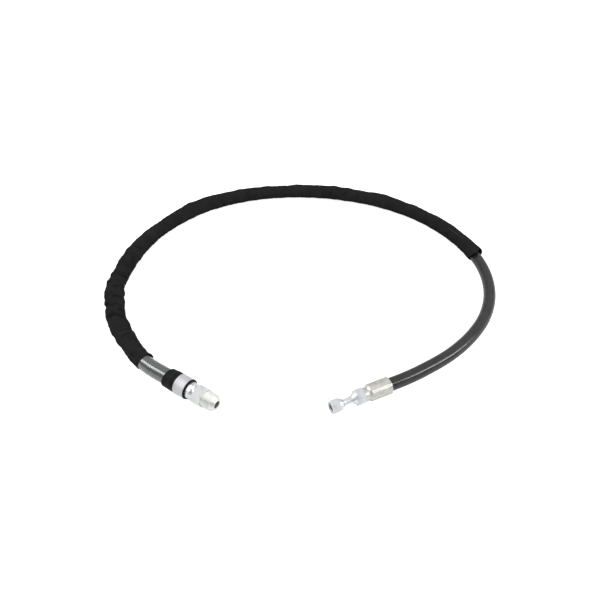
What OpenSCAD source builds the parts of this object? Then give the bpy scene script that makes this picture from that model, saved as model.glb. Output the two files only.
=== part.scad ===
// Hydraulic hose assembly: a two-braid rubber hose that lies in an open ring,
// crimped at one end to a male cone fitting and at the other to a fitting with
// a swivel nut. A woven sleeve, a clear tube, a rubber cuff and a clamp ring
// guard the hose at the male end. Millimetres, +Z up, floor at z = 0.

/* [Hose] */
// Bore of the hose
hose_bore_d = 6.4; // [6.2:0.1:7.0]
// Wall of the rubber inner tube
tube_wall = 1.5; // [1.3:0.1:1.8]
// Wall of each of the two wire braids
braid_wall = 0.6; // [0.5:0.05:0.75]
// Rubber ply between the two braids
ply_wall = 0.3; // [0.2:0.05:0.45]
// Wall of the rubber cover
cover_wall = 1.3; // [1.1:0.1:1.6]

/* [Ferrules] */
// Wall of a crimped ferrule at its round corners
ferrule_wall = 2.4; // [2.1:0.1:2.8]
// How deep the eight crimping flats are pressed in
crimp_depth = 0.5; // [0.2:0.1:0.7]
// Whole length of a ferrule
ferrule_len = 32; // [30:0.5:36]
// Length of hose held in a ferrule
hose_grip = 26.3; // [25:0.1:27]
// Length of the cone between a ferrule's barrel and its lip
shoulder_len = 2; // [1.4:0.1:2.4]
// Length of the lip of the swivel end's ferrule
swivel_lip_len = 5.1; // [4.6:0.1:5.4]
// Length of the lip of the male end's ferrule
male_lip_len = 2.6; // [2.4:0.1:5.4]
// Outer diameter of a ferrule's lip
lip_d = 15.4; // [14.4:0.2:16]

/* [Hose tails] */
// Bore through a hose tail
tail_bore_d = 4.2; // [3.6:0.1:4.6]
// Number of barbs on a hose tail
barb_count = 5; // [3:1:5]
// Distance from one barb to the next
barb_pitch = 4.6; // [4:0.1:4.8]
// Diameter of the groove that a ferrule's lip bites into
lock_groove_d = 9.2; // [8.4:0.2:9.8]
// Diameter of the collar that stops the ferrule
lock_collar_d = 11; // [10.4:0.2:12]
// Width of that collar
lock_collar_w = 2; // [1.4:0.1:2.4]

/* [Male end] */
// Hexagon of the male end, across its flats
male_hex_af = 20.6; // [19.6:0.1:22.4]
// Length of that hexagon
male_hex_len = 11.6; // [9:0.1:13]
// Outer diameter of the male thread
male_thread_d = 19.05; // [18:0.05:19.4]
// Length of the full male thread
male_thread_len = 9.8; // [8:0.1:12]
// Width of the relief groove behind the thread
relief_w = 1.6; // [1:0.1:2.4]
// Depth of the relief groove
relief_depth = 0.9; // [0.5:0.1:1.4]
// Bevel at the thread's front end
male_bevel = 1; // [0.6:0.1:1.4]
// Length of the sealing cone
cone_len = 3.4; // [2:0.1:4]
// Slope of the sealing cone, from the axis
cone_angle = 37; // [30:1:40]
// Bore in the mouth of the male end
male_bore_d = 8.2; // [6:0.1:9]
// Depth of that wide bore
male_bore_depth = 22; // [14:0.5:26]

/* [Swivel end] */
// Hexagon of the swivel stem, across its flats
stem_hex_af = 17; // [14.4:0.1:17.5]
// Length of that hexagon
stem_hex_len = 9.7; // [7:0.1:12]
// Length of the cone from the hexagon to the neck
flare_len = 5.6; // [3:0.1:8]
// Diameter of the neck
neck_d = 7.2; // [6.4:0.1:7.6]
// Length of neck that shows between cone and nut
neck_len = 9.5; // [6:0.1:14]
// Hexagon of the swivel nut, across its flats
nut_af = 14.3; // [13.8:0.1:15]
// Length of the nut's hexagon
nut_hex_len = 9.9; // [9:0.1:12]
// Length of the nut's rounded rear collar
nut_collar_len = 4.8; // [4:0.1:6]
// Diameter of the nut's rear collar where it meets the neck
nut_collar_end_d = 9.6; // [9:0.1:10.6]
// Diameter over the crests of the nut's inner thread
nut_thread_d = 9.9; // [9.5:0.05:10.3]
// Length of the nut's inner thread
nut_thread_len = 6.4; // [5.5:0.1:7]
// Bevel at the nut's mouth
nut_mouth_bevel = 0.6; // [0.3:0.1:0.9]
// Diameter of the sealing head inside the nut
head_d = 9.5; // [9.2:0.1:9.8]
// Length of the sealing head
head_len = 3; // [2.4:0.1:3.2]

/* [Guards] */
// Wall of the clear guard tube
clear_wall = 1.5; // [0.8:0.1:1.6]
// Length of the clear guard tube
clear_len = 273; // [200:1:300]
// Wall of the rubber cuff over the ferrule
cuff_wall = 1.2; // [0.9:0.1:1.6]
// Length of the cuff
cuff_len = 31.9; // [31:0.1:34.6]
// Distance that the cuff stands behind the hose's cut end
cuff_setback = 3.6; // [1:0.1:4]
// Wall of the clamp ring
ring_wall = 0.9; // [0.6:0.1:1.4]
// Length of the clamp ring
ring_len = 13.8; // [8:0.1:18]
// Distance from the cuff's front edge to the ring
ring_setback = 1.8; // [1:0.1:8]
// Wall of the woven sleeve
sleeve_wall = 1; // [0.8:0.1:1.4]
// Outer diameter of the sleeve where it is bunched over the clear tube
sleeve_wide_d = 24.2; // [23:0.1:27]
// Length over which the sleeve narrows behind the clear tube
narrowing = 66; // [40:1:100]
// Outer diameter of the sleeve over the bare hose
sleeve_d = 21.2; // [20.4:0.1:24]
// Distance along the hose from its cut male end to the sleeve
sleeve_start = 72; // [50:1:90]
// Length of the sleeve along the hose
sleeve_len = 870; // [600:2:1100]

/* [Fits] */
// Gap between pieces that are slipped over each other
slip = 0.3; // [0.2:0.05:0.4]
// Gap between metal pieces that are pressed together
press_gap = 0.05; // [0.03:0.01:0.08]
// Radial running gap between the nut and the neck
run_gap = 0.05; // [0.03:0.01:0.09]
// End play of the nut behind the sealing head
end_play = 0.2; // [0.1:0.05:0.3]

/* [Hidden] */
$fn = 96;
overcut = 1;

// Sides of every swept tube, and how far a side's middle lies inside its corners
sides = 12;
side_ratio = cos(180 / sides);

// Route of the hose's centre line, from its cut male end to its cut swivel end.
// The first and last runs are straight, because they lie in the ferrules.
route = [
    [-115, -203, 12.2], [-149, -181, 12.2], [-175, -162, 11.4], [-201, -131, 10.6],
    [-223, -96, 10.6], [-237, -56, 10.6], [-243, -15, 10.6], [-239, 24, 10.6],
    [-229, 65, 10.6], [-212, 103, 8.8], [-188, 137, 8.8], [-158, 166, 8.8],
    [-123, 189, 8.8], [-84, 204, 8.8], [-44, 213, 8.8], [-2, 216, 8.8],
    [40, 213, 8.8], [80, 204, 8.8], [119, 190, 8.8], [156, 169, 8.8],
    [188, 143, 8.8], [215, 111, 8.8], [236, 76, 8.8], [249, 39, 8.8],
    [253, -3, 8.8], [247, -44, 8], [231, -82, 7.5], [207, -115, 7.5],
    [177, -144, 8], [143, -168, 9], [109, -187.2, 10], [73, -204, 10]
];
last = len(route) - 1;

// Radii of the hose, from the bore outwards
bore_r = hose_bore_d / 2;
tube_r = bore_r + tube_wall;
inner_braid_r = tube_r + braid_wall;
ply_r = inner_braid_r + ply_wall;
outer_braid_r = ply_r + braid_wall;
hose_r = outer_braid_r + cover_wall;

// Radii of the pieces around the hose
barrel_r = hose_r + ferrule_wall;
clear_in_r = hose_r + slip;
clear_r = clear_in_r + clear_wall;
cuff_in_r = barrel_r + press_gap;
cuff_r = cuff_in_r + cuff_wall;
ring_in_r = cuff_r + press_gap;
ring_r = ring_in_r + ring_wall;

// Places along a fitting's axis, from the hose's cut end towards the tip
hex_rear = ferrule_len - hose_grip;
male_hex_front = hex_rear + male_hex_len;
male_thread_start = male_hex_front + relief_w;
male_thread_end = male_thread_start + male_thread_len;
cone_start = male_thread_end + male_bevel;
male_tip = cone_start + cone_len;
stem_hex_front = hex_rear + stem_hex_len;
neck_start = stem_hex_front + flare_len;
nut_rear = neck_start + neck_len;
nut_hex_rear = nut_rear + nut_collar_len;
nut_face = nut_hex_rear + nut_hex_len;
nut_thread_rear = nut_face - nut_mouth_bevel - nut_thread_len;
head_rear = nut_thread_rear - head_len - end_play;

function unit(v) = v / norm(v);
function mix(a, b, t) = a + (b - a) * t;

// Distance along the route to each of its points
function run(i) = i == 0 ? 0 : run(i - 1) + norm(route[i] - route[i - 1]);
stations = [for (i = [0:last]) run(i)];

// Point of the route at a distance from its first point
function leg(d) = max([for (i = [0:last - 1]) if (stations[i] <= d) i]);
function at(d) = let (i = leg(d))
    mix(route[i], route[i + 1], (d - stations[i]) / (stations[i + 1] - stations[i]));

// Distances of the rings of a tube that runs from d0 to d1. A ring of the route
// that would lie closer than a gap to either end is left out.
ring_gap = 2.5;
function rings(d0, d1) = concat([d0],
    [for (s = stations) if (s > d0 + ring_gap && s < d1 - ring_gap) s], [d1]);

// One ring of corners round p, square to the direction t, with a corner lowest
function ring(p, t, r) = let (side = unit(cross(t, [0, 0, 1])), up = cross(side, t))
    [for (k = [0:sides - 1]) let (a = 360 * k / sides - 90)
        p + r * (cos(a) * side + sin(a) * up)];

// Direction of a list of points at one of them
function heading(points, i) = let (n = len(points) - 1)
    unit((i < n ? unit(points[i + 1] - points[i]) : [0, 0, 0])
       + (i > 0 ? unit(points[i] - points[i - 1]) : [0, 0, 0]));

// A tube swept along points, from inner radii to outer radii, one of each per point
module swept_tube(points, inner, outer) {
    n = len(points);
    corners = [for (wall = [outer, inner]) for (i = [0:n - 1])
        each ring(points[i], heading(points, i), wall[i])];
    function corner(wall, i, k) = (wall * n + i) * sides + k % sides;
    function quad(a, b, c, d) = [[a, b, c], [a, c, d]];
    outside = [for (i = [0:n - 2]) for (k = [0:sides - 1])
        each quad(corner(0, i, k), corner(0, i, k + 1),
                  corner(0, i + 1, k + 1), corner(0, i + 1, k))];
    inside = [for (i = [0:n - 2]) for (k = [0:sides - 1])
        each quad(corner(1, i, k), corner(1, i + 1, k),
                  corner(1, i + 1, k + 1), corner(1, i, k + 1))];
    first_end = [for (k = [0:sides - 1])
        each quad(corner(0, 0, k), corner(1, 0, k),
                  corner(1, 0, k + 1), corner(0, 0, k + 1))];
    last_end = [for (k = [0:sides - 1])
        each quad(corner(0, n - 1, k), corner(0, n - 1, k + 1),
                  corner(1, n - 1, k + 1), corner(1, n - 1, k))];
    polyhedron(corners, concat(outside, inside, first_end, last_end));
}

// One layer of the hose, along the whole route
module hose_layer(inner_r, outer_r) {
    swept_tube(route, [for (p = route) inner_r], [for (p = route) outer_r]);
}

// Puts a fitting's axis, along +X from the hose's cut end, on an end of the route
module at_end(tip, behind) {
    out = tip - behind;
    translate(tip) rotate([0, 0, atan2(out[1], out[0])]) children();
}
module at_male_end() { at_end(route[0], route[1]) children(); }
module at_swivel_end() { at_end(route[last], route[last - 1]) children(); }

// Turns a profile of [place along the axis, radius] points round the X axis
module turned(profile) {
    rotate([90, 0, 90]) rotate_extrude() polygon([for (p = profile) [p[1], p[0]]]);
}

// A straight cylinder on the axis from a to b
module bar(a, b, r) {
    translate([a, 0, 0]) rotate([0, 90, 0]) cylinder(h = b - a, r = r);
}

// A hexagon from a to b, across flats af, with its corners turned off at both ends
hex_bevel_angle = 30;
module hexagon(a, b, af) {
    corner_r = af / sqrt(3);
    bevel = (corner_r + press_gap - af / 2) * tan(hex_bevel_angle);
    intersection() {
        translate([a, 0, 0]) rotate([0, 90, 0])
            linear_extrude(b - a) rotate(30) circle(r = corner_r, $fn = 6);
        rotate([15, 0, 0])
            turned([[a, 0], [a, af / 2], [a + bevel, corner_r + press_gap],
                    [b - bevel, corner_r + press_gap], [b, af / 2], [b, 0]]);
    }
}

// Hose tail: barbs that lean away from the cut end, then the collar and the groove
// that lock the ferrule. The hose's bore has flat sides, so the barbs fit those.
barb_depth = 0.35;
barb_slope = 0.75;
barb_drop = 0.1;
barb_tip_r = bore_r * side_ratio - press_gap;
barb_root_r = barb_tip_r - barb_depth;
tail_front = -0.4;
tail_lead = 1.2;
tail_rear = tail_front - barb_count * barb_pitch - tail_lead;
module tail() {
    barbs = [for (i = [0:barb_count - 1]) let (x = tail_front - (barb_count - i) * barb_pitch)
        each [[x, barb_root_r], [x + barb_pitch * barb_slope, barb_tip_r],
              [x + barb_pitch * barb_slope + barb_drop, barb_root_r]]];
    turned(concat([[tail_rear, 0], [tail_rear, barb_root_r]], barbs,
        [[tail_front, barb_root_r], [tail_front, barb_tip_r], [press_gap, barb_tip_r],
         [press_gap, lock_collar_d / 2], [lock_collar_w, lock_collar_d / 2],
         [lock_collar_w, lock_groove_d / 2], [hex_rear + overcut, lock_groove_d / 2],
         [hex_rear + overcut, 0]]));
}

// The bore through a hose tail and on to a place in front of it
module tail_bore(front) {
    bar(tail_rear - overcut, front, tail_bore_d / 2);
}

// Crimped ferrule: barrel with eight pressed flats, cone, and a lip in the groove
module ferrule(lip_len) {
    lip_start = hex_rear - lip_len;
    shoulder_start = lip_start - shoulder_len;
    flat_r = barrel_r - crimp_depth;
    difference() {
        union() {
            intersection() {
                bar(-hose_grip, shoulder_start, barrel_r);
                translate([-hose_grip, 0, 0]) rotate([0, 90, 0])
                    linear_extrude(shoulder_start + hose_grip)
                        circle(r = flat_r / cos(22.5), $fn = 8);
            }
            turned([[shoulder_start - press_gap, 0], [shoulder_start - press_gap, flat_r],
                    [shoulder_start, flat_r], [lip_start, lip_d / 2],
                    [hex_rear - press_gap, lip_d / 2], [hex_rear - press_gap, 0]]);
        }
        bar(-hose_grip - overcut, press_gap, hose_r);
        bar(0, lock_collar_w + press_gap, lock_collar_d / 2 + press_gap);
        bar(0, hex_rear + overcut, lock_groove_d / 2 + press_gap);
    }
}

module hose_inner_tube() { color("dimgray") hose_layer(bore_r, tube_r); }
module inner_wire_braid() { color("lightgray") hose_layer(tube_r, inner_braid_r); }
module braid_ply() { color("dimgray") hose_layer(inner_braid_r, ply_r); }
module outer_wire_braid() { color("lightgray") hose_layer(ply_r, outer_braid_r); }
module hose_cover() { color([0.25, 0.25, 0.26]) hose_layer(outer_braid_r, hose_r); }

// Male end: hexagon, relief groove, thread and sealing cone turned from one bar
module male_stem() {
    drill_slope = 31;
    thread_r = male_thread_d / 2;
    relief_r = thread_r - relief_depth;
    cone_r = thread_r - male_bevel;
    face_r = cone_r - cone_len * tan(cone_angle);
    bore_end = male_tip - male_bore_depth;
    drill_point = (male_bore_d - tail_bore_d) / 2 * tan(drill_slope);
    color("silver") at_male_end() difference() {
        union() {
            tail();
            hexagon(hex_rear, male_hex_front, male_hex_af);
            turned([[hex_rear + overcut, 0], [hex_rear + overcut, relief_r],
                    [male_thread_start, relief_r],
                    [male_thread_start, thread_r], [male_thread_end, thread_r],
                    [cone_start, cone_r], [male_tip, face_r], [male_tip, 0]]);
        }
        turned([[bore_end - drill_point, 0], [bore_end - drill_point, tail_bore_d / 2],
                [bore_end, male_bore_d / 2], [male_tip + overcut, male_bore_d / 2],
                [male_tip + overcut, 0]]);
        tail_bore(male_hex_front);
    }
}

module male_ferrule() { color("silver") at_male_end() ferrule(male_lip_len); }

// Swivel stem: hexagon, cone, neck and a sealing head with an inner cone seat.
// The cone and the nut's collar start a little inside their hexagon's flats.
flare_share = 0.42;
seat_rim = 0.5;
module swivel_stem() {
    neck_r = neck_d / 2;
    flare_r = stem_hex_af * flare_share;
    flare_step = flare_len / 10;
    head_r = head_d / 2;
    head_face = nut_thread_rear - end_play;
    seat_r = head_r - seat_rim;
    seat_depth = (seat_r - tail_bore_d / 2) / tan(cone_angle);
    color("silver") at_swivel_end() difference() {
        union() {
            tail();
            hexagon(hex_rear, stem_hex_front, stem_hex_af);
            turned([[stem_hex_front - flare_len / 2, 0], [stem_hex_front - flare_len / 2, flare_r],
                    [stem_hex_front + flare_step, flare_r],
                    [neck_start, neck_r], [head_rear - head_slope_len, neck_r],
                    [head_rear, head_r], [head_face, head_r], [head_face, 0]]);
        }
        turned([[head_face - seat_depth, 0], [head_face - seat_depth, tail_bore_d / 2],
                [head_face, seat_r], [head_face + overcut, seat_r],
                [head_face + overcut, 0]]);
        tail_bore(head_face);
    }
}

module swivel_ferrule() { color("silver") at_swivel_end() ferrule(swivel_lip_len); }

// Slope between the neck and the head, and the chamber in the nut that holds the head
head_slope_len = (head_d - neck_d) / 2;
chamber_relief = 0.35;
chamber_r = nut_thread_d / 2 + chamber_relief;

// Swivel nut: hexagon, inner thread, and a rear collar swaged in behind the head
module swivel_nut() {
    thread_r = nut_thread_d / 2;
    rear_bore_r = neck_d / 2 + run_gap;
    slope_end = head_rear - end_play;
    slope_start = slope_end - head_slope_len - (chamber_r - head_d / 2);
    bulge_place = mix(nut_rear, nut_hex_rear, 0.35);
    bulge_r = nut_af * flare_share;
    collar_r = nut_af * 0.48;
    color("silver") at_swivel_end() difference() {
        union() {
            hexagon(nut_hex_rear, nut_face, nut_af);
            turned([[nut_rear, 0], [nut_rear, nut_collar_end_d / 2], [bulge_place, bulge_r],
                    [nut_hex_rear - press_gap, collar_r], [nut_hex_rear + overcut, collar_r],
                    [nut_hex_rear + overcut, 0]]);
        }
        bar(nut_rear - overcut, nut_face, rear_bore_r);
        turned([[slope_start, 0], [slope_start, rear_bore_r],
                [slope_end, chamber_r], [nut_thread_rear, chamber_r],
                [nut_thread_rear, 0]]);
        bar(nut_thread_rear - press_gap, nut_face + overcut, thread_r);
        turned([[nut_face - nut_mouth_bevel, 0], [nut_face - nut_mouth_bevel, thread_r],
                [nut_face, thread_r + nut_mouth_bevel],
                [nut_face + overcut, thread_r + nut_mouth_bevel],
                [nut_face + overcut, 0]]);
    }
}

// Clear tube: starts just behind the male ferrule and ends under the sleeve
module clear_guard_tube() {
    start = hose_grip + slip;
    spots = rings(start, start + clear_len);
    color([0.8, 0.85, 0.85, 0.5])
        swept_tube([for (d = spots) at(d)], [for (d = spots) clear_in_r],
                   [for (d = spots) clear_r]);
}

// Rubber cuff: lies on the male ferrule and steps down onto the clear tube
module cuff_band() {
    front = -cuff_setback;
    rear = front - cuff_len;
    step = -hose_grip - slip;
    color([0.1, 0.1, 0.1]) at_male_end()
        turned([[rear, clear_r + press_gap], [rear, cuff_r], [front, cuff_r],
                [front, cuff_in_r], [step, cuff_in_r], [step, clear_r + press_gap]]);
}

// Clamp ring: a thin ring pressed round the cuff, with slightly raised rims
module clamp_ring() {
    front = -cuff_setback - ring_setback;
    rear = front - ring_len;
    rim = 1.2;
    rim_height = 0.2;
    waist_r = ring_r - rim_height;
    color([0.75, 0.74, 0.76]) at_male_end()
        turned([[rear, ring_in_r], [rear, ring_r], [rear + rim, ring_r],
                [rear + rim, waist_r], [front - rim, waist_r], [front - rim, ring_r],
                [front, ring_r], [front, ring_in_r]]);
}

// Woven sleeve: bunched and wide over the clear tube, slimmer over the bare hose.
// It lies on the floor, so its centre is one radius up.
module fabric_sleeve() {
    narrow_from = hose_grip + slip + clear_len;
    narrow_to = narrow_from + narrowing;
    function sleeve_r(d) = mix(sleeve_wide_d, sleeve_d,
        min(1, max(0, (d - narrow_from) / (narrow_to - narrow_from)))) / 2;
    spots = rings(sleeve_start, sleeve_start + sleeve_len);
    color([0.13, 0.13, 0.13])
        swept_tube([for (d = spots) [at(d)[0], at(d)[1], sleeve_r(d)]],
                   [for (d = spots) sleeve_r(d) - sleeve_wall],
                   [for (d = spots) sleeve_r(d)]);
}

hose_inner_tube();
inner_wire_braid();
braid_ply();
outer_wire_braid();
hose_cover();
male_stem();
male_ferrule();
swivel_stem();
swivel_ferrule();
swivel_nut();
clear_guard_tube();
cuff_band();
clamp_ring();
fabric_sleeve();
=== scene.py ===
import math
import bpy
import numpy as np
from mathutils import Matrix, Vector


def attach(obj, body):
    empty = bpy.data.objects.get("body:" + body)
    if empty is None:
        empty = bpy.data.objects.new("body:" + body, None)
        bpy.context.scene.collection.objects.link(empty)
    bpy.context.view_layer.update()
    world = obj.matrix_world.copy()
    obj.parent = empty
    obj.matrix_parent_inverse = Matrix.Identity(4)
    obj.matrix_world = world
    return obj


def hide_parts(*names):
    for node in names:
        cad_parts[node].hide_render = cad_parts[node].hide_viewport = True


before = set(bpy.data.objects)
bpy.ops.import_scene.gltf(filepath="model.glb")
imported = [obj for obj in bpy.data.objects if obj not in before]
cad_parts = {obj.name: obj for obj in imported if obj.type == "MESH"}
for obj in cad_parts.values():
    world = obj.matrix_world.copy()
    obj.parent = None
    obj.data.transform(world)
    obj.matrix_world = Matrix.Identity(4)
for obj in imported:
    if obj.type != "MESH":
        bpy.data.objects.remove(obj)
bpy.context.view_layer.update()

# ---------------------------------------------------------------- camera
# A short-range studio view from in front of the ring and above it, looking
# down at the gap between the two ends of the hose.
camera = bpy.data.objects.new("camera", bpy.data.cameras.new("camera"))
camera.location = (0, -0.5635, 0.469)
camera.rotation_euler = (math.radians(48), 0, 0)
camera.data.sensor_width = 36
camera.data.lens = 31.98
bpy.context.scene.collection.objects.link(camera)
bpy.context.scene.camera = camera

# ---------------------------------------------------------------- hose
# Two-braid hydraulic hose, 15 mm across: an inner tube of oil-proof rubber, two
# braids of steel wire with a thin ply between them, and a smooth rubber cover.
# It is one length, cut square at both ends, and each end is held in a ferrule.

# The camera, the floor, the lamps and the hose's route are placed in metres. The
# pieces' other sizes and places are in millimetres.
mm_per_m = 1000
hose_route = [
    (-0.115, -0.203, 0.0122), (-0.149, -0.181, 0.0122), (-0.175, -0.162, 0.0114),
    (-0.201, -0.131, 0.0106), (-0.223, -0.096, 0.0106), (-0.237, -0.056, 0.0106),
    (-0.243, -0.015, 0.0106), (-0.239, 0.024, 0.0106), (-0.229, 0.065, 0.0106),
    (-0.212, 0.103, 0.0088), (-0.188, 0.137, 0.0088), (-0.158, 0.166, 0.0088),
    (-0.123, 0.189, 0.0088), (-0.084, 0.204, 0.0088), (-0.044, 0.213, 0.0088),
    (-0.002, 0.216, 0.0088), (0.040, 0.213, 0.0088), (0.080, 0.204, 0.0088),
    (0.119, 0.190, 0.0088), (0.156, 0.169, 0.0088), (0.188, 0.143, 0.0088),
    (0.215, 0.111, 0.0088), (0.236, 0.076, 0.0088), (0.249, 0.039, 0.0088),
    (0.253, -0.003, 0.0088), (0.247, -0.044, 0.0080), (0.231, -0.082, 0.0075),
    (0.207, -0.115, 0.0075), (0.177, -0.144, 0.0080), (0.143, -0.168, 0.0090),
    (0.109, -0.1872, 0.0100), (0.073, -0.204, 0.0100),
]


def smooth_line(points, steps=60):
    """Centre line through the points, in millimetres, straight in its first and last runs."""
    p = np.array(points) * mm_per_m
    slope = np.empty_like(p)
    slope[1:-1] = p[2:] - p[:-2]
    slope[0] = slope[1] = p[1] - p[0]
    slope[-1] = slope[-2] = p[-1] - p[-2]
    slope /= np.linalg.norm(slope, axis=1)[:, None]
    t = np.linspace(0, 1, steps, endpoint=False)[:, None]
    runs = []
    for a, b, ta, tb in zip(p[:-1], p[1:], slope[:-1], slope[1:]):
        reach = np.linalg.norm(b - a)
        runs.append((2 * t**3 - 3 * t**2 + 1) * a + (t**3 - 2 * t**2 + t) * reach * ta
                    + (3 * t**2 - 2 * t**3) * b + (t**3 - t**2) * reach * tb)
    line = np.vstack(runs + [p[-1:]])
    run = np.r_[0, np.cumsum(np.linalg.norm(np.diff(line, axis=0), axis=1))]
    return line, run


hose_line, hose_run = smooth_line(hose_route)
hose_length = hose_run[-1]


def on_hose(d):
    """Centre, heading, inner side and up direction of the hose at distances d."""
    def spot(at):
        return np.stack([np.interp(at, hose_run, hose_line[:, k]) for k in range(3)], -1)

    d = np.asarray(d, float)
    ahead = spot(np.minimum(d + 1, hose_length)) - spot(np.maximum(d - 1, 0))
    ahead /= np.linalg.norm(ahead, axis=-1)[..., None]
    side = np.cross(ahead, (0, 0, 1.0))
    side /= np.linalg.norm(side, axis=-1)[..., None]
    return spot(d), ahead, side, np.cross(side, ahead)


def skin(name, grid, along, around, material, sharp):
    """A closed skin over a grid of points that wraps both ways, with metres as its UVs.
    along and around give the UV of each row and column, one more than the grid has.
    Edges sharper than an angle in degrees are shaded sharp."""
    rows, cols = grid.shape[:2]
    i, j = np.meshgrid(np.arange(rows), np.arange(cols), indexing="ij")
    i, j = i.ravel(), j.ravel()
    i2, j2 = (i + 1) % rows, (j + 1) % cols
    quads = np.stack([i * cols + j, i2 * cols + j, i2 * cols + j2, i * cols + j2], 1)
    points = grid.reshape(-1, 3) / mm_per_m
    u = np.stack([along[i], along[i + 1], along[i + 1], along[i]], 1)
    v = np.stack([around[j], around[j], around[j + 1], around[j + 1]], 1)
    a, b, c, d = (points[quads[:, k]] for k in range(4))
    volume = np.einsum("ij,ij->", a, np.cross(b, c)) + np.einsum("ij,ij->", a, np.cross(c, d))
    if volume < 0:
        quads, u, v = quads[:, ::-1], u[:, ::-1], v[:, ::-1]
    mesh = bpy.data.meshes.new(name)
    mesh.from_pydata(points.tolist(), [], quads.tolist())
    layer = mesh.uv_layers.new(name="unrolled")
    layer.data.foreach_set("uv", np.stack([u, v], -1).ravel() / mm_per_m)
    mesh.shade_smooth()
    mesh.set_sharp_from_angle(angle=math.radians(sharp))
    mesh.materials.append(material)
    piece = bpy.data.objects.new(name, mesh)
    bpy.context.scene.collection.objects.link(piece)
    return piece


def angles_round(sides):
    """Angles round the hose, from its underside on. 0 faces the middle of the loop, 90 degrees is up."""
    return np.linspace(0, 2 * np.pi, sides, endpoint=False) - np.pi / 2


def hose_tube(name, d, inner, outer, sides, material, sharp=28, middle=None, slide=None):
    """A tube along the hose between distances d. A radius is one number, or an array with
    a row for each distance and a column for each angle. middle moves the tube's centre
    line, and slide moves its points along the hose."""
    turn = angles_round(sides)
    centre, ahead, side, up = on_hose(d)
    if middle is not None:
        centre = middle(d, centre)
    spoke = np.cos(turn)[None, :, None] * side[:, None] + np.sin(turn)[None, :, None] * up[:, None]
    walls = []
    for wall in (outer, inner):
        radius = np.broadcast_to(np.asarray(wall, float), (len(d), sides))
        points = centre[:, None] + radius[..., None] * spoke
        if slide is not None:
            points = points + slide(d[:, None], turn[None, :])[..., None] * ahead[:, None]
        walls.append(points)
    grid = np.vstack([walls[0], walls[1][::-1]])
    along = np.r_[d, d[::-1], d[0]]
    around = np.linspace(0, 2 * np.pi, sides + 1) * float(np.mean(outer))
    return skin(name, grid, along, around, material, sharp)


def new_material(name):
    """A plain material, its node tree and its shader."""
    material = bpy.data.materials.new(name)
    material.use_nodes = True
    return material, material.node_tree, material.node_tree.nodes["Principled BSDF"]


def set_inputs(tree, made, **inputs):
    """Sets inputs of a node, by name or as i0, i1 and so on. A socket is linked, not copied."""
    for key, value in inputs.items():
        numbered = key[0] == "i" and key[1:].isdigit()
        socket = made.inputs[int(key[1:]) if numbered else key.replace("_", " ")]
        if isinstance(value, bpy.types.NodeSocket):
            tree.links.new(value, socket)
        else:
            socket.default_value = value


def node(tree, kind, settings=None, **inputs):
    """A new node with its settings and inputs."""
    made = tree.nodes.new(kind)
    for key, value in (settings or {}).items():
        setattr(made, key, value)
    set_inputs(tree, made, **inputs)
    return made


def place_of(tree, scale=(1, 1, 1), uv=True):
    """Texture coordinates in metres, from the unrolled UVs or the object's own space."""
    source = node(tree, "ShaderNodeTexCoord").outputs["UV" if uv else "Object"]
    return node(tree, "ShaderNodeMapping", Vector=source, Scale=scale).outputs[0]


def noise(tree, scale, detail, place=None):
    """Soft noise from 0 to 1, over the object's own space unless a place is given."""
    if place is None:
        place = place_of(tree, uv=False)
    return node(tree, "ShaderNodeTexNoise", Vector=place, Scale=scale, Detail=detail).outputs[0]


def grey(value, warm=0.0):
    """A grey, warmer or cooler by a share of its brightness."""
    return (value * (1 + warm), value, value * (1 - warm))


def ramp(tree, factor, stops):
    """A colour ramp with (place, colour) stops, where one number stands for a grey."""
    made = node(tree, "ShaderNodeValToRGB", Fac=factor)
    elements = made.color_ramp.elements
    while len(elements) < len(stops):
        elements.new(0.5)
    for element, (place, colour) in zip(elements, stops):
        element.position = place
        element.color = (*(grey(colour) if np.isscalar(colour) else colour), 1)
    return made.outputs[0]


def raise_grain(tree, shader, layers, distance=0.0002):
    """Bumps in a surface, in metres, from (height, strength) layers, each on the one before."""
    below = None
    for height, strength in layers:
        bump = node(tree, "ShaderNodeBump", Strength=strength, Distance=distance, Height=height)
        if below is not None:
            set_inputs(tree, bump, Normal=below)
        below = bump.outputs[0]
    set_inputs(tree, shader, Normal=below)


def smooth_rubber(name, colour, roughness, grain, depth, shine=0.5):
    """Moulded rubber: a dull base with faint clouding, and a fine grain in its surface."""
    material, tree, shader = new_material(name)
    cloud = noise(tree, 90.0, 4.0)
    dark, light = [c * 0.82 for c in colour], [c * 1.2 for c in colour]
    set_inputs(tree, shader, Specular_IOR_Level=shine,
               Base_Color=ramp(tree, cloud, [(0.35, dark), (0.68, light)]),
               Roughness=ramp(tree, cloud, [(0.3, roughness - 0.06), (0.7, roughness + 0.08)]))
    raise_grain(tree, shader, [(noise(tree, grain, 3.0), depth)])
    return material


def braided_wire(name, colour, braid_angle=54.7, wire_scale=420.0, crossing_scale=260.0):
    """Steel wire braid: crossed bands of fine wires that wind both ways round the tube."""
    material, tree, shader = new_material(name)
    place = place_of(tree)

    def rolled(angle):
        return node(tree, "ShaderNodeVectorRotate", {"rotation_type": "Z_AXIS"},
                    Vector=place, Angle=math.radians(angle)).outputs[0]

    one_way, other_way = [
        node(tree, "ShaderNodeTexWave", Vector=rolled(angle), Scale=wire_scale, Distortion=0.0).outputs[1]
        for angle in (braid_angle, -braid_angle)]
    over = node(tree, "ShaderNodeTexChecker", Vector=rolled(45), Scale=crossing_scale).outputs[1]
    height = node(tree, "ShaderNodeMix", i0=over, i2=one_way, i3=other_way).outputs[0]
    between_wires = [c * 0.45 for c in colour]
    set_inputs(tree, shader, Metallic=1.0, Roughness=0.34,
               Base_Color=ramp(tree, height, [(0.1, between_wires), (0.8, colour)]))
    raise_grain(tree, shader, [(height, 0.6)])
    return material


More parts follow.
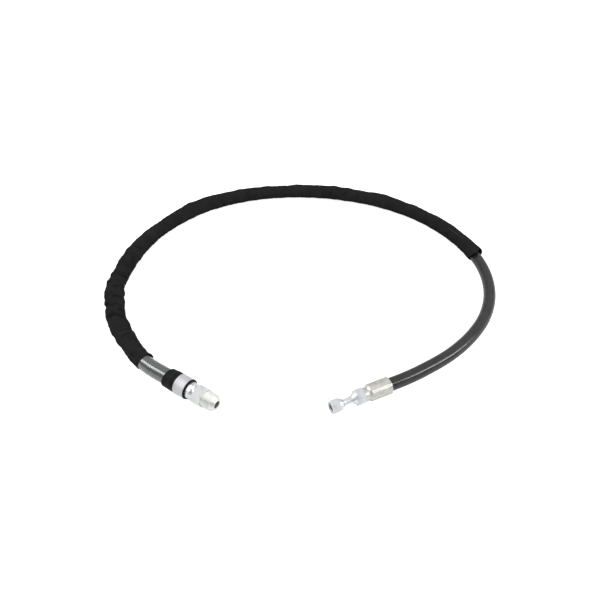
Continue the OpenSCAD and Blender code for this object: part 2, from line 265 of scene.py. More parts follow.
cover_rubber = smooth_rubber("cover_rubber", grey(0.022, -0.03), roughness=0.25, grain=2200.0, depth=0.05)
layer_rubber = smooth_rubber("layer_rubber", grey(0.02), roughness=0.6, grain=1500.0, depth=0.2)
braid_wire = braided_wire("braid_wire", (0.55, 0.54, 0.52))

bore_radius, hose_radius = 3.2, 7.5
hose_layers = [
    # piece, CAD node, inner radius, outer radius, sides, spacing, material, slot
    ("hose_tube", "hose_inner_tube", bore_radius, 4.7, 24, 9, layer_rubber, "tube_rubber"),
    ("hose_braid_inner", "inner_wire_braid", 4.7, 5.3, 24, 9, braid_wire, "braid_wire"),
    ("hose_ply", "braid_ply", 5.3, 5.6, 24, 9, layer_rubber, "ply_rubber"),
    ("hose_braid_outer", "outer_wire_braid", 5.6, 6.2, 24, 9, braid_wire, "braid_wire"),
    ("hose_cover_piece", "hose_cover", 6.2, hose_radius, 48, 4, cover_rubber, "cover_rubber"),
]
for name, cad_node, inner, outer, sides, spacing, material, slot in hose_layers:
    d = np.linspace(0, hose_length, round(hose_length / spacing))
    piece = hose_tube(name, d, inner, outer, sides, material)
    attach(piece, "hose")
    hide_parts(cad_node)

# The hose comes out of the male ferrule this far from its cut end
ferrule_grip = 26.3
hose_path = on_hose(np.linspace(0, hose_length, 200))[0] / mm_per_m
tuple(float(c) for c in on_hose(ferrule_grip)[0] / mm_per_m)

# ---------------------------------------------------------------- clear guard tube
# Clear plastic tube, extruded, a loose fit on the hose. It begins behind the male
# ferrule, under the cuff, and most of it lies inside the sleeve. Handling has
# left it hazy.
clear_start, clear_length = 26.6, 273
clear_inner, clear_outer = 7.8, 9.3
haze_dark, haze_light = (0.145, 0.156, 0.159), (0.245, 0.261, 0.265)

hazy_plastic, tree, shader = new_material("hazy_plastic")
haze = noise(tree, 3.0, 5.0, place_of(tree, (60, 240, 1)))
set_inputs(tree, shader, Base_Color=ramp(tree, haze, [(0.3, haze_dark), (0.75, haze_light)]),
           Roughness=ramp(tree, haze, [(0.3, 0.12), (0.75, 0.2)]),
           Transmission_Weight=0.72, IOR=1.5, Coat_Weight=1.0, Coat_IOR=1.72, Coat_Roughness=0.08)
raise_grain(tree, shader, [(haze, 0.1)], distance=0.0003)

d = np.linspace(clear_start, clear_start + clear_length, 140)
clear_piece = hose_tube("clear_tube", d, clear_inner, clear_outer, 64, hazy_plastic)
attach(clear_piece, "hose")
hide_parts("clear_guard_tube")

# ---------------------------------------------------------------- woven sleeve
# Guard sleeve of black woven nylon, pulled over the hose and over the clear tube.
# It is bunched at the male end, where it lies in short folds across its length,
# and slimmer from there on. Both mouths are heat-cut and stand a little open.
sleeve_start, sleeve_length = 72.0, 872.0
sleeve_end = sleeve_start + sleeve_length
sleeve_cloth = 0.9
sleeve_sides = 96

# Outer radius in mm at distances along the hose
sleeve_girth = [
    (68, 10.3), (82, 10.3), (90, 10.9), (98, 10.3), (110, 10.9), (116, 10.7), (124, 11.7), (130, 11.1),
    (144, 12.0), (152, 11.6), (166, 11.7), (170, 12.1), (176, 11.6), (184, 11.1), (194, 12.2), (202, 11.6),
    (210, 12.4), (220, 11.6), (226, 11.8), (236, 10.9), (243, 11.7), (253, 10.3), (262, 11.5), (274, 11.8),
    (284, 11.2), (294, 12.0), (304, 11.4),
    (318, 11.1), (342, 11.0), (366, 10.2), (392, 10.7), (410, 11.2), (430, 11.9), (442, 11.2),
    (462, 11.5), (480, 11.2), (498, 10.6), (514, 10.9), (525, 10.7), (546, 10.4), (560, 10.5),
    (572, 10.0), (598, 10.0), (610, 10.9), (622, 10.5), (660, 10.6), (670, 11.2), (682, 10.7),
    (694, 11.0), (702, 10.3), (726, 10.3), (742, 11.1), (752, 11.5), (764, 10.9), (780, 10.4),
    (792, 10.1), (808, 10.6), (830, 9.9), (856, 10.5), (868, 10.2), (878, 10.7), (890, 10.2),
    (905, 10.2), (920, 10.6), (932, 11.0), (944, 11.5),
]

# How far the sleeve lies to the outer side of the hose's own centre line, in mm
sleeve_lean = [
    (150, 0), (160, 0.9), (168, 0.9), (176, 0), (198, 0), (204, 1.0), (210, 0.6), (218, 1.6), (232, 1.1),
    (240, 0), (424, 0), (434, 1.0), (458, 1.1), (474, 0), (500, 0.2), (512, 0.8), (560, 0.7), (590, 0.4),
    (640, 0.2), (700, 0.3), (760, 0.5), (790, 0.6), (870, 0.7), (886, 0.2), (905, 0),
]

# How loose the cloth lies at distances along the hose
sleeve_bunching = [(70, 0.7), (110, 1.0), (150, 1.3), (250, 1.2), (330, 0.8), (420, 0.7), (940, 0.7)]


def between(pairs, at):
    """The value at places between given (place, value) pairs."""
    places, values = np.array(pairs).T
    return np.interp(at, places, values)


def sleeve_height(s):
    """Height of the sleeve's centre: it lies on the floor, or hangs on the hose near the male end."""
    return np.maximum(between(sleeve_girth, s), np.interp(s, hose_run, hose_line[:, 2]))


# Creases across the cloth: points as (distance, angle round the hose in degrees), then
# the crease's width and depth in mm, and the side on which its lip stands up
sleeve_creases = [
    ([(237, -12), (241, 18)], 1.6, 1.9, -1), ([(260, 96), (262, 50)], 1.1, 1.1, 1),
    ([(266, 6), (284, 54)], 4.5, 0.6, 0), ([(303, 30), (300, 84)], 1.1, 1.0, 1),
    ([(239, 16), (238, 72)], 1.1, 1.1, 1), ([(192, 40), (192, 88)], 1.2, 1.2, -1),
    ([(178, 70), (177, 116)], 1.1, 1.0, 1), ([(150, 40), (152, 62), (159, 96), (159, 134)], 1.7, 2.0, 1),
    ([(125, 56), (127, 106)], 1.2, 1.1, 1), ([(119, 68), (118, 118)], 1.2, 1.0, -1),
    ([(211, 58), (212, 84)], 1.3, 1.1, 1), ([(206, 70), (214, 96)], 1.0, 0.7, 0),
    ([(167, 10), (166, 60)], 1.4, 1.0, 1), ([(182, 128), (186, 168)], 1.6, 1.2, 1),
    ([(222, 100), (226, 150)], 1.2, 0.8, 1), ([(249, -20), (252, 20)], 1.6, 1.0, 0),
    ([(688, 16), (694, 68)], 1.1, 0.9, 1), ([(712, 22), (713, 52)], 1.1, 0.8, 1),
    ([(665, 2), (670, 56)], 1.1, 0.8, -1), ([(482, -30), (482, -4)], 1.8, 1.0, 0),
    ([(411, 60), (417, 120)], 1.3, 0.8, 1), ([(536, 0), (541, 30)], 1.2, 0.7, 0),
    ([(801, -40), (801, -10)], 2.2, 0.7, 0), ([(841, -26), (841, 8)], 2.0, 0.6, 0),
    ([(858, -36), (858, -4)], 2.0, 0.6, 0), ([(883, -26), (883, 8)], 2.2, 0.6, 0),
    ([(150, 190), (154, 240)], 1.6, 1.3, 1), ([(196, 180), (200, 230)], 1.5, 1.2, -1),
    ([(232, 190), (230, 250)], 1.5, 1.1, 1), ([(300, 170), (306, 220)], 1.4, 0.8, 1),
    ([(430, 180), (436, 230)], 1.5, 0.8, 1), ([(560, 150), (566, 210)], 1.4, 0.7, -1),
    ([(640, 160), (636, 220)], 1.5, 0.8, 1), ([(740, 150), (748, 210)], 1.5, 0.8, 1),
    ([(820, 160), (826, 220)], 1.4, 0.7, -1), ([(900, 140), (896, 200)], 1.4, 0.7, 1),
]
# A crease is made crease_spread times wider and relief_gain times deeper than listed, and
# fades out over fade_angle degrees past its ends. Its lip is measured in these widths.
relief_gain, crease_spread, crease_steepness, fade_angle = 1.6, 1.4, 1.4, 16
lip_place, lip_width, lip_height = 1.7, 1.1, 0.5

# Small bumps and dents: (distance, angle, radius in mm, height in mm before the same gain).
# The cloth's mean radius turns their angles into distances.
sleeve_bumps = [
    (202, 24, 4, 0.8), (186, 18, 3.5, 0.8), (162, 30, 4, 0.7), (136, 40, 4, 0.6), (103, 52, 4, 0.5),
    (202, 160, 4, 0.7), (190, 140, 4, 0.6), (175, 154, 4, 0.8), (138, 162, 4, 0.6), (117, 164, 4, 0.6),
    (370, 24, 3, -0.7), (377, 20, 3, -0.6), (398, 18, 3.5, -0.7), (309, 36, 4, -0.7), (358, -4, 3, -0.6),
    (415, 88, 4, -0.7), (443, 98, 5, 0.6), (497, -2, 3, 0.7), (519, -34, 3, 0.6), (211, 72, 3, -0.6),
    (788, 40, 3.5, -0.7), (778, 64, 3.5, -0.6), (750, 20, 6, 0.5), (426, 160, 8, 0.4), (243, 0, 4, 1.1),
    (228, -5, 5, -0.9), (232, 160, 5, 0.4), (250, -6, 4, 0.8), (218, 10, 3, 0.4), (92, 158, 4, 0.5),
    (84, 120, 5, 0.4), (100, 130, 6, -0.3), (286, 170, 6, 0.4), (272, -4, 4, -0.5), (262, 172, 4, -0.5),
]
mean_cloth_radius = 11.5

# Waves of the loose cloth: (length along the sleeve in mm, height in mm, how many are summed)
short_waves = [(13, 0.26, 9), (7, 0.10, 9)]
long_wave, long_height, long_count = 40, 0.28, 7
# Painted shade: how dark a wrinkle and a crease are painted, and the depths in mm from which they are
# painted no darker
painted_wrinkle_darkness, full_wrinkle = 0.3, 0.5
painted_crease_darkness, full_crease = 0.75, 1.2

# The rim of the male mouth stands up at the inner top, with a hollow behind it: (distance,
# height in mm, half width in mm). The top of the swivel mouth sinks onto the hose.
mouth_rims = [(73.5, 1.1, 2.2), (80, -0.5, 3)]
rim_angle, rim_spread = 40, 42
sink_start, sink_depth = 900, 2.2

rng = np.random.default_rng(7)


def soft_noise(s, a, wave, count):
    """Slow variation over the sleeve, about -1 to 1, that closes on itself round it."""
    total = 0
    for _ in range(count):
        k = rng.integers(-3, 4)
        total = total + rng.normal() * np.sin(2 * np.pi * s / (wave * rng.uniform(0.6, 1.7))
                                              + k * a + rng.uniform(0, 2 * np.pi))
    return total / math.sqrt(count)


def sleeve_relief(s, a):
    """How far the cloth stands out from its mean radius, in mm, and the shade painted into its folds."""
    s, a = np.broadcast_arrays(s, a)
    angle = np.degrees(a)
    bunched = between(sleeve_bunching, s)
    wrinkles = bunched * sum(height * soft_noise(s, a, wave, count) for wave, height, count in short_waves)
    relief = bunched * long_height * soft_noise(s, a, long_wave, long_count) + wrinkles
    # Painted shade: the valleys of the wrinkles and the creases are painted darker, where shade falls
    shade = painted_wrinkle_darkness * np.clip(-wrinkles / full_wrinkle, 0, 1)
    for points, width, depth, lip_side in sleeve_creases:
        places, angles = np.array(points, float).T
        across = (s - np.interp(angle, angles, places)) / (crease_spread * width)
        beyond = np.maximum(np.maximum(angles[0] - angle, angle - angles[-1]), 0)
        fade = np.clip(1 - beyond / fade_angle, 0, 1) ** 2
        lip = lip_height * abs(lip_side) * np.exp(-((across - lip_place * lip_side) / lip_width) ** 2)
        valley = fade * np.exp(-across ** 2 * crease_steepness)
        relief = relief + relief_gain * depth * (fade * lip - valley)
        shade = np.maximum(shade, painted_crease_darkness * np.clip(depth, 0, full_crease) * valley)
    for place, middle, size, height in sleeve_bumps:
        off = np.hypot(s - place, np.radians(angle - middle) * mean_cloth_radius)
        relief = relief + relief_gain * height * np.exp(-(off / size) ** 2)
    inner_top = np.exp(-((angle - rim_angle) / rim_spread) ** 2)
    for place, height, size in mouth_rims:
        relief = relief + inner_top * height * np.exp(-((s - place) / size) ** 2)
    sunk = np.clip((s - sink_start) / (sleeve_end - sink_start), 0, 1) * np.clip(np.sin(a), 0, 1) ** 3
    return relief - sink_depth * sunk, np.clip(shade, 0, 1)


# The cloth comes down from the clear tube to the hose between two distances, keeps a gap
# to both, and is flat underneath, a little above the floor
step_down = [300, 306]
cloth_gap, floor_gap = 0.12, 0.25


def sleeve_outer(s, a):
    """Outer radius of the cloth, pressed flat on the floor, and the shade painted into its folds."""
    relief, shade = sleeve_relief(s, a)
    within = np.interp(s, step_down, [clear_outer, hose_radius]) + sleeve_cloth + cloth_gap
    outer = np.maximum(between(sleeve_girth, s) + relief, within)
    fall = -np.sin(a)
    flat = (sleeve_height(s) - floor_gap) / np.maximum(fall, 0.05)
    return np.where(fall > 0.05, np.minimum(outer, flat), outer), shade


def sleeve_middle(d, centre):
    """The sleeve's centre line, a little outside the hose's own."""
    centre = centre - between(sleeve_lean, d)[:, None] * on_hose(d)[2]
    centre[:, 2] = sleeve_height(d)
    return centre


# How far the two slanting mouths lie beyond a square cut, in mm at angles in degrees
male_mouth = [(-180, 3.4), (-150, 4.0), (-90, 4.0), (10, 0.6), (60, 2.6), (100, 1.4), (130, 1.8),
              (160, 2.8), (180, 3.4)]
swivel_mouth = [(-180, -5), (-90, -4), (-34, -5), (0, 0.4), (14, 2.2), (30, 2.8), (80, 2.6),
                (92, 1.0), (102, -1.2), (116, -3.4), (130, -4.8), (146, -5.6), (180, -5.2)]
mouth_reach = 14


def mouth_slide(s, a):
    """How far the cloth's points move along the hose to slant the mouths, in mm."""
    angle = (np.degrees(a) + 180) % 360 - 180
    from_start = np.clip(1 - (s - sleeve_start) / mouth_reach, 0, 1)
    from_end = np.clip(1 - (sleeve_end - s) / mouth_reach, 0, 1)
    return between(male_mouth, angle) * from_start + between(swivel_mouth, angle) * from_end


# Streaks painted lighter: (start, end, angle at the start, angle at the end, half width in
# degrees, run-out in mm, strength)
sleeve_streaks = [(74, 117, 144, 166, 3, 6, 0.35), (878, 910, 60, 70, 4, 5, 0.3)]


def sleeve_light_streaks(s, a):
    """Where the cloth is painted lighter, from 0 to 1."""
    light_streak = 0
    for start, end, first, last, width, run_out, strength in sleeve_streaks:
        streak = np.exp(-((np.degrees(a) - np.interp(s, [start, end], [first, last])) / width) ** 2)
        faded = np.clip((s - start) / run_out, 0, 1) * np.clip((end - s) / run_out, 0, 1)
        light_streak = light_streak + strength * streak * faded
    return light_streak


def maths(tree, operation, *values, clamp=False):
    """One step of arithmetic on sockets and numbers."""
    inputs = {f"i{k}": value for k, value in enumerate(values)}
    return node(tree, "ShaderNodeMath", {"operation": operation, "use_clamp": clamp}, **inputs).outputs[0]


def blend(tree, factor, first, second, kind="MIX"):
    """Two colours mixed, or multiplied, by a factor."""
    return node(tree, "ShaderNodeMix", {"data_type": "RGBA", "blend_type": kind},
                i0=factor, i6=first, i7=second).outputs[2]


yarn_scale = 390.0
streak_grey, painted_shadow_black = (*grey(0.12), 1), (*grey(0.006), 1)

black_weave, tree, shader = new_material("black_weave")
cloth = place_of(tree)
warp_yarn, weft_yarn = [
    node(tree, "ShaderNodeTexWave", {"bands_direction": way}, Vector=cloth, Scale=yarn_scale).outputs[1]
    for way in "XY"]
weave = maths(tree, "MULTIPLY", warp_yarn, weft_yarn)
dust = noise(tree, 55.0, 5.0)
lighter_streaks, painted_shade_mask = [
    node(tree, "ShaderNodeAttribute", {"attribute_name": name}).outputs["Fac"]
    for name in ("light_streak", "painted_fold_darkness")]
dyed = ramp(tree, dust, [(0.3, 0.024), (0.72, 0.034)])
dyed = blend(tree, lighter_streaks, dyed, streak_grey)
# Painted shade: the cloth is painted near black in its folds and wrinkles
dyed = blend(tree, painted_shade_mask, dyed, painted_shadow_black)
yarn_tops = ramp(tree, weave, [(0.0, 0.6), (0.7, 1.0)])
set_inputs(tree, shader, Specular_IOR_Level=0.0,
           Base_Color=blend(tree, 1.0, dyed, yarn_tops, "MULTIPLY"),
           Roughness=ramp(tree, dust, [(0.3, 0.82), (0.7, 0.95)]))
raise_grain(tree, shader, [(weave, 0.5)])

# Rows lie closer together where the cloth is bunched
close_rows_end, close_rows, wide_rows = 320, 1.2, 2.0
# How strongly shade is painted into the folds
painted_shade_strength = 0.75
d = np.r_[np.arange(sleeve_start, close_rows_end, close_rows),
          np.arange(close_rows_end, sleeve_end + 0.1, wide_rows)]
s, a = d[:, None], angles_round(sleeve_sides)[None, :]
cloth_radius, painted_darkness_of_folds = sleeve_outer(s, a)
sleeve_piece = hose_tube("woven_sleeve", d, cloth_radius - sleeve_cloth, cloth_radius, sleeve_sides,
                         black_weave, sharp=50, middle=sleeve_middle, slide=mouth_slide)
# The outer wall's points carry the lighter streaks and the painted shade of the folds
for name, outside in (("light_streak", sleeve_light_streaks(s, a)), ("painted_fold_darkness", painted_shade_strength * painted_darkness_of_folds)):
    values = np.vstack([outside, np.zeros_like(outside)])
    sleeve_piece.data.attributes.new(name, "FLOAT", "POINT").data.foreach_set("value", values.ravel())
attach(sleeve_piece, "hose")
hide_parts("fabric_sleeve")

# ---------------------------------------------------------------- male end
# Male end, turned from one steel bar: barbed tail, hexagon, relief groove,
# 3/4-16 thread and a 37 degree sealing cone with a stepped bore. Zinc plated.


def fitting_axis(tip, behind):
    """Start, outward heading, side and up of a fitting, from the hose's cut end."""
    tip, behind = (np.array(p) * mm_per_m for p in (tip, behind))
    out = (tip - behind) / np.linalg.norm(tip - behind)
    return tip, out, np.cross(out, (0, 0, 1.0)), np.array((0, 0, 1.0))


male_axis = fitting_axis(hose_route[0], hose_route[1])
swivel_axis = fitting_axis(hose_route[-1], hose_route[-2])


def turned(name, axis, profile, material, sides=96, shape=None, sharp=26, slant=None):
    """A closed profile of (place, radius) points turned round a fitting's axis.
    shape(place, radius, angle) may change the radius, for flats and threads, and
    slant(place, angle) moves points along the axis."""
    turn = np.linspace(0, 2 * np.pi, sides, endpoint=False)
    x, r = np.array(profile, float).T
    place, radius = (np.repeat(values[:, None], sides, 1) for values in (x, r))
    if shape is not None:
        radius = shape(place, radius, turn[None, :])
    if slant is not None:
        place = place + slant(place, turn[None, :])
    start, out, side, up = axis
    spoke = np.cos(turn)[None, :, None] * side + np.sin(turn)[None, :, None] * up
    grid = start + place[..., None] * out + radius[..., None] * spoke
    step = np.hypot(np.diff(np.r_[x, x[0]]), np.diff(np.r_[r, r[0]]))
    around = np.linspace(0, 2 * np.pi, sides + 1) * r.max()
    return skin(name, grid, np.r_[0, np.cumsum(step)], around, material, sharp)


def fine(points, pitch):
    """The points of an open line with more put between them, no further apart than pitch."""
    made = [points[0]]
    for a, b in zip(points[:-1], points[1:]):
        parts = max(1, math.ceil(math.hypot(b[0] - a[0], b[1] - a[1]) / pitch))
        made += [(a[0] + (b[0] - a[0]) * k / parts, a[1] + (b[1] - a[1]) * k / parts)
                 for k in range(1, parts + 1)]
    return made


def eased(corner, before, after, size):
    """Three points that round a corner between two others."""
    def towards(end):
        reach = math.hypot(end[0] - corner[0], end[1] - corner[1])
        return (corner[0] + (end[0] - corner[0]) * size / reach,
                corner[1] + (end[1] - corner[1]) * size / reach)

    a, b = towards(before), towards(after)
    return [a, ((a[0] + 2 * corner[0] + b[0]) / 4, (a[1] + 2 * corner[1] + b[1]) / 4), b]


def hexagon_radius(af, angle):
    """Distance from the axis to a hexagon's side, for a width across flats."""
    return af / 2 / np.cos((angle % (np.pi / 3)) - np.pi / 6)


def with_flats(x, r, a, af, rear, front, core):
    """Radii with a hexagon's flats cut between two places, wherever the bar is thicker than its core."""
    slack = 1e-6
    inside = (x >= rear - slack) & (x <= front + slack) & (r > core)
    return np.where(inside, np.minimum(r, hexagon_radius(af, a)), r)


def hexagon_outline(rear, front, af, face_radius, bevel, spare=0.05, pitch=0.12):
    """Outline of the round bar that a hexagon is cut from, a little wider than its corners and
    bevelled towards both faces."""
    corner = af / math.sqrt(3) + spare
    return (fine([(rear, face_radius), (rear + bevel, corner)], pitch)
            + fine([(front - bevel, corner), (front, face_radius)], pitch))


def tooth(turns, steepness=2.6, root_width=0.25):
    """Height of a thread's profile, from 0 at the root to 1 at the crest, after so many turns."""
    return np.clip(np.abs(turns % 1 - 0.5) * steepness - root_width, 0, 1)


def plated_steel(name, colour, roughness, turning, other=None):
    """Plated steel: tool marks round the piece, uneven plating and fine wear. The higher
    turning is, the closer the marks lie, and other is the colour of the plating's patches."""
    material, tree, shader = new_material(name)
    cloud = noise(tree, 210.0, 6.0)
    dull = [c * 0.88 for c in colour]
    other = other or [c * 1.04 for c in colour]
    set_inputs(tree, shader, Metallic=1.0,
               Base_Color=ramp(tree, cloud, [(0.34, dull), (0.5, colour), (0.68, other)]),
               Roughness=ramp(tree, cloud, [(0.3, roughness - 0.06), (0.72, roughness + 0.1)]))
    marks = noise(tree, 1.0, 3.0, place_of(tree, (turning, 20, 1)))
    pits = noise(tree, 1500.0, 2.0)
    raise_grain(tree, shader, [(marks, 0.12), (pits, 0.06)])
    return material


def plate_and_shade_faces(piece, axis, coats, coat_of):
    """Gives the faces further materials: coats of plating, or dark steel for painted shade. coat_of(along,
    out) numbers the material by a face's place along the axis and its distance from it, and 0 is the
    piece's own."""
    for coat in coats:
        piece.data.materials.append(coat)
    for face in piece.data.polygons:
        off = np.array(face.center) * mm_per_m - axis[0]
        along = off @ axis[1]
        face.material_index = coat_of(along, np.linalg.norm(off - along * axis[1]))


zinc_plate = plated_steel("zinc_plate", (0.85, 0.87, 0.875), roughness=0.36, turning=9000)
# Painted shade: the inside of the male end's mouth is painted dark grey, where shade falls in the bore
mouth_painted_shade = plated_steel("mouth_painted_shade", (0.42, 0.42, 0.415), roughness=0.4, turning=6000)
thread_plate = plated_steel("thread_plate", (0.88, 0.89, 0.865), roughness=0.46, turning=12000,
                            other=(0.89, 0.89, 0.82))

# Hose tail, the same on both fittings: barbs, a stop collar and a groove for the ferrule's lip
tail_end, tail_front, tail_radius = -24.6, -0.4, 3.04
barb_count, barb_pitch, barb_crest, barb_root = 5, 4.6, 3.45, 2.7
collar_start, collar_end, collar_radius = 0.05, 2, 5.5
groove_radius, hex_rear = 4.6, 5.7


def tail_profile():
    """Outer line of a hose tail from its inner end to the hexagon."""
    line = [(tail_end, barb_root)]
    for k in range(barb_count):
        x = tail_front - (barb_count - k) * barb_pitch
        line += [(x, barb_root), (x + barb_crest, tail_radius), (x + barb_crest + 0.1, barb_root)]
    return line + [(tail_front, barb_root), (tail_front, tail_radius), (collar_start, tail_radius),
                   (collar_start, collar_radius), (collar_end, collar_radius),
                   (collar_end, groove_radius), (hex_rear, groove_radius)]


male_hex_af, male_hex_front, male_hex_core = 20.6, 17.3, 8.7
male_hex_face, male_hex_bevel, fillet_radius = 10.1, 0.95, 9.0
relief_radius, thread_start, thread_end = 8.6, 18.9, 28.7
thread_radius, thread_pitch, thread_depth, thread_core = 9.525, 1.5875, 0.92, 8.4
thread_run_out = 0.9
cone_start, cone_radius, male_tip, nose_radius = 29.7, thread_radius - 1, 33.1, 5.96
mouth_radius, mouth_end, mouth_taper, oil_radius = 4.0, 11.1, 1.2, 2.1


def male_shape(x, r, a):
    """The hexagon's flats, and the thread's helix, which runs out at both ends."""
    flats = with_flats(x, r, a, male_hex_af, hex_rear, male_hex_front, male_hex_core)
    cut = 1 - tooth((x - thread_start) / thread_pitch - a / (2 * np.pi))
    run = np.clip(np.minimum(x - thread_start + 0.3, cone_start - 0.1 - x) / thread_run_out, 0, 1)
    threaded = (x > thread_start - 0.05) & (x < cone_start) & (r > thread_core)
    return np.where(threaded, flats - thread_depth * cut * run, flats)


male_outer = (
    tail_profile()
    + hexagon_outline(hex_rear, male_hex_front, male_hex_af, male_hex_face, male_hex_bevel)
    + [(male_hex_front, fillet_radius)]
    + eased((male_hex_front, relief_radius), (male_hex_front, fillet_radius),
            (thread_start, relief_radius), 0.4)
    + [(thread_start - 0.2, relief_radius), (thread_start, relief_radius + 0.1)]
    + fine([(thread_start + 0.1, thread_radius), (thread_end, thread_radius)], thread_pitch / 10)
    + fine([(thread_end, thread_radius), (cone_start, cone_radius)], thread_pitch / 10)[1:]
    + eased((male_tip, nose_radius), (cone_start, cone_radius), (male_tip, mouth_radius + 0.1), 0.5)
    + eased((male_tip, mouth_radius), (male_tip, nose_radius), (mouth_end, mouth_radius), 0.7)
)
male_inner = [(mouth_end, mouth_radius), (mouth_end - mouth_taper, oil_radius), (tail_end, oil_radius)]
male_piece = turned("male_end", male_axis, male_outer + male_inner, zinc_plate,
                    sides=120, shape=male_shape)


def male_coat_and_shade(along, out):
    """Steel painted dark grey in the mouth as painted shade, and a coat of its own on the groove, thread
    and cone.
    """
    if out < mouth_radius + 0.2 and along < male_tip - 0.5:
        return 2
    return 1 if along > male_hex_front else 0


plate_and_shade_faces(male_piece, male_axis, [thread_plate, mouth_painted_shade], male_coat_and_shade)
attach(male_piece, "hose")
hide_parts("male_stem")

# ---------------------------------------------------------------- ferrules
# Steel ferrules, crimped onto the hose by eight dies. The dies leave eight long flats,
# with a low ridge and a fine line along it between each two, and fold the lip into the
# tail's groove. The swivel end's has a warm nickel plating, the other's is zinc.
nickel_plate = plated_steel("nickel_plate", (0.70, 0.70, 0.66), roughness=0.4, turning=1500,
                            other=(0.745, 0.74, 0.675))
barrel_radius, barrel_edge, barrel_core = 9.9, 9.8, 9.2
shoulder_length, shoulder_radius, lip_radius = 2, 9.15, 7.7
press_gap = 0.05
die_count, die_turn = 8, 0.1
ridge_radius, flat_depth = 9.78, 0.35
line_depth, line_width = 0.25, 0.05
mouth_fade, lip_fade = 1.6, 2.4


def ferrule(name, axis, lip_length, material, cad_node):
    """A crimped ferrule on a fitting, from its mouth at the hose to its lip at the hexagon."""
    mouth, front = -ferrule_grip, hex_rear - press_gap
    lip_start = hex_rear - lip_length
    shoulder = lip_start - shoulder_length
    half_die = np.pi / die_count

    def crimped(x, r, a):
        """The barrel pressed by the dies, less so towards its ends."""
        a = a + die_turn
        from_ridge = (a + half_die) % (2 * half_die) - half_die
        pressed = ridge_radius - flat_depth * np.cos(die_count / 2 * (a - half_die)) ** 2
        pressed = pressed - line_depth * np.exp(-(from_ridge / line_width) ** 2)
        held = np.clip((x - mouth) / mouth_fade, 0, 1) * np.clip((lip_start - x) / lip_fade, 0, 1)
        barrel = (r > barrel_core) & (x < lip_start)
        return np.where(barrel, r + (np.minimum(r, pressed) - r) * held, r)

    groove_wall, collar_wall = groove_radius + press_gap, collar_radius + press_gap
    outer = (
        [(mouth, hose_radius + 0.12), (mouth, barrel_core)]
        + eased((mouth, barrel_edge), (mouth, barrel_core), (shoulder, barrel_edge), 0.5)
        + fine([(mouth + 0.8, barrel_radius), (shoulder - 0.1, barrel_radius)], 1.0)
        + [(shoulder, shoulder_radius + 0.2)]
        + fine([(shoulder + 0.1, shoulder_radius), (lip_start, lip_radius)], 0.5)
        + [(lip_start + 0.2, lip_radius - 0.15), (lip_start + 0.5, lip_radius)]
        + [(hex_rear - 0.5, lip_radius), (hex_rear - 0.15, lip_radius - 0.25), (front, lip_radius - 0.5)]
    )
    inner = [(front, groove_wall), (collar_end + press_gap, groove_wall),
             (collar_end + press_gap, collar_wall), (collar_start, collar_wall),
             (collar_start, hose_radius), (mouth + 0.5, hose_radius + 0.02)]
    piece = turned(name, axis, outer + inner, material, sides=128, shape=crimped, sharp=22)
    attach(piece, "hose")
    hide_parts(cad_node)


ferrule("male_ferrule_shell", male_axis, 2.6, zinc_plate, "male_ferrule")
ferrule("swivel_ferrule_shell", swivel_axis, 5.1, nickel_plate, "swivel_ferrule")

# ---------------------------------------------------------------- cuff and clamp ring
# Black rubber cuff over the male ferrule and the end of the clear tube, and a thin
# metal ring pressed round it. The rubber swells a little on both sides of the ring.
cuff_rubber = smooth_rubber("cuff_rubber", grey(0.009), roughness=0.62, grain=1600.0, depth=0.3, shine=0.13)
cuff_front, cuff_rear, cuff_radius = -3.6, -35.5, 11.15
cuff_bore, cuff_step, tube_bore = 9.95, -26.5, 9.4
ring_front, ring_rear = -5.4, -19.2
swell_place, swell_length, swell_height, swell_from = -25, 3.6, 0.9, 10.6
slant_start, slant_length, slant_reach, slant_angle = -30, 5, 1.1, 63


def cuff_swell(x, r, a):
    """The rubber stands up behind the ring, most on its upper side."""
    swell = swell_height * np.exp(-((x - swell_place) / swell_length) ** 2)
    swell = swell * (0.35 + 0.65 * np.clip(np.sin(a), 0, 1))
    return np.where(r > swell_from, r + swell, r)


def cuff_slant(x, a):
    """The cuff's rear edge lies a little askew."""
    rear = np.clip((slant_start - x) / slant_length, 0, 1)
    return rear * (slant_reach * np.sin(a - math.radians(slant_angle)))


# Beside the ring and under it: (place, how far the rubber stands out from the cuff's radius)
pinched = [(ring_rear - 1.4, 0.15), (ring_rear - 0.6, 0.3), (ring_rear - 0.15, 0.2), (ring_rear, -0.1),
           (ring_front, -0.1), (ring_front + 0.15, 0.2), (ring_front + 0.5, 0.3)]
cuff_outer = (
    eased((cuff_rear, cuff_radius - 0.1), (cuff_rear, tube_bore), (ring_rear, cuff_radius), 0.6)
    + fine([(cuff_rear + 1.6, cuff_radius + 0.02), (ring_rear - 3, cuff_radius)], 1.0)
    + [(place, cuff_radius + proud) for place, proud in pinched]
    + eased((cuff_front, cuff_radius + 0.1), (ring_front, cuff_radius + 0.1), (cuff_front, cuff_bore), 0.5)
    + eased((cuff_front, cuff_bore), (cuff_front, cuff_radius), (cuff_step, cuff_bore), 0.25)
)
cuff_inner = [(cuff_step, cuff_bore), (cuff_step - 0.1, tube_bore), (cuff_rear, tube_bore - 0.05)]
cuff_piece = turned("cuff", male_axis, cuff_outer + cuff_inner, cuff_rubber,
                    shape=cuff_swell, slant=cuff_slant)
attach(cuff_piece, "hose")
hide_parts("cuff_band")

